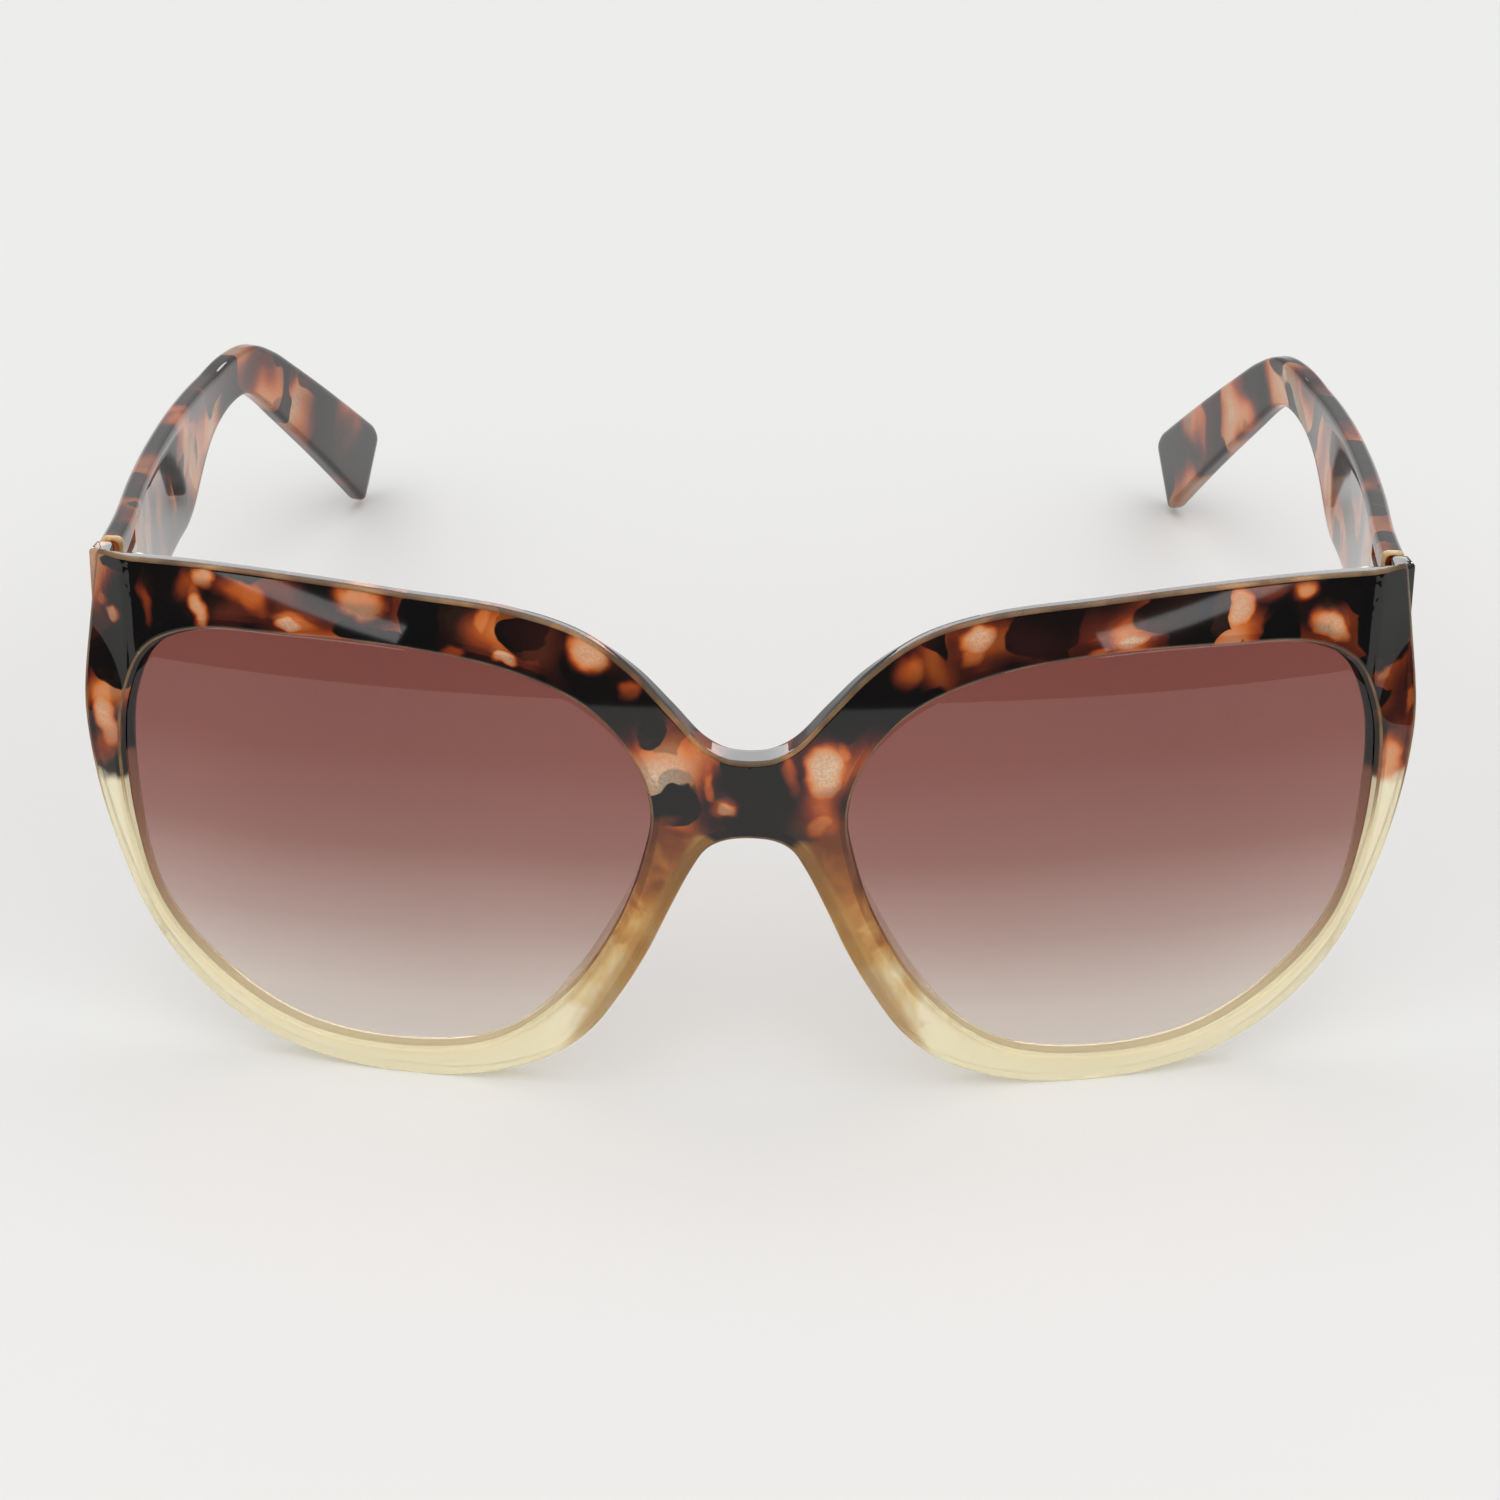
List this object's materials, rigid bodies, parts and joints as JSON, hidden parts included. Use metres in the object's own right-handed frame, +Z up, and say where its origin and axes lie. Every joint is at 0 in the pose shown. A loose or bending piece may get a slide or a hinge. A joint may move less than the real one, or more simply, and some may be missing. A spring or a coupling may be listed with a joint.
{
  "type": "cat eye sunglasses",
  "caption": "Oversized cat eye sunglasses with a tortoise-to-clear moulded front, graduated tinted lenses and wide temples that fold on metal hinges.",
  "frame": {"origin": "centre of the footprint of the open glasses, on the surface they stand on", "axes": "+X towards the wearer's left, +Y from the front towards the temple tips, +Z up"},
  "size_m": [0.15, 0.1486, 0.0608],
  "materials": {
    "front_plastic": "polished tortoise plastic, fading to clear champagne on the lower rims",
    "temple_plastic": "polished tortoise plastic",
    "lens_tint": "polished, rosy brown at the top fading to almost clear",
    "hinge_metal": "satin nickel",
    "screw_steel": "plain steel"
  },
  "bodies": {
    "front": {"frame_front": "front_plastic", "lens_right": "lens_tint", "lens_left": "lens_tint", "hinge_front_right": "hinge_metal", "hinge_front_left": "hinge_metal", "hinge_screw_right": "screw_steel", "hinge_screw_left": "screw_steel"},
    "right_temple": {"temple_right": "temple_plastic", "hinge_temple_right": "hinge_metal"},
    "left_temple": {"temple_left": "temple_plastic", "hinge_temple_left": "hinge_metal"}
  },
  "joints": [
    {"name": "temple_right_fold", "type": "hinge", "parent": "front", "child": "right_temple", "pos_m": [-0.06875, -0.05544, 0.0537], "axis": [0, -0.0872, -0.9962], "range_deg": [-1.8, 84]},
    {"name": "temple_left_fold", "type": "hinge", "parent": "front", "child": "left_temple", "pos_m": [0.06875, -0.05544, 0.0537], "axis": [0, 0.0872, 0.9962], "range_deg": [0, 80]}
  ]
}
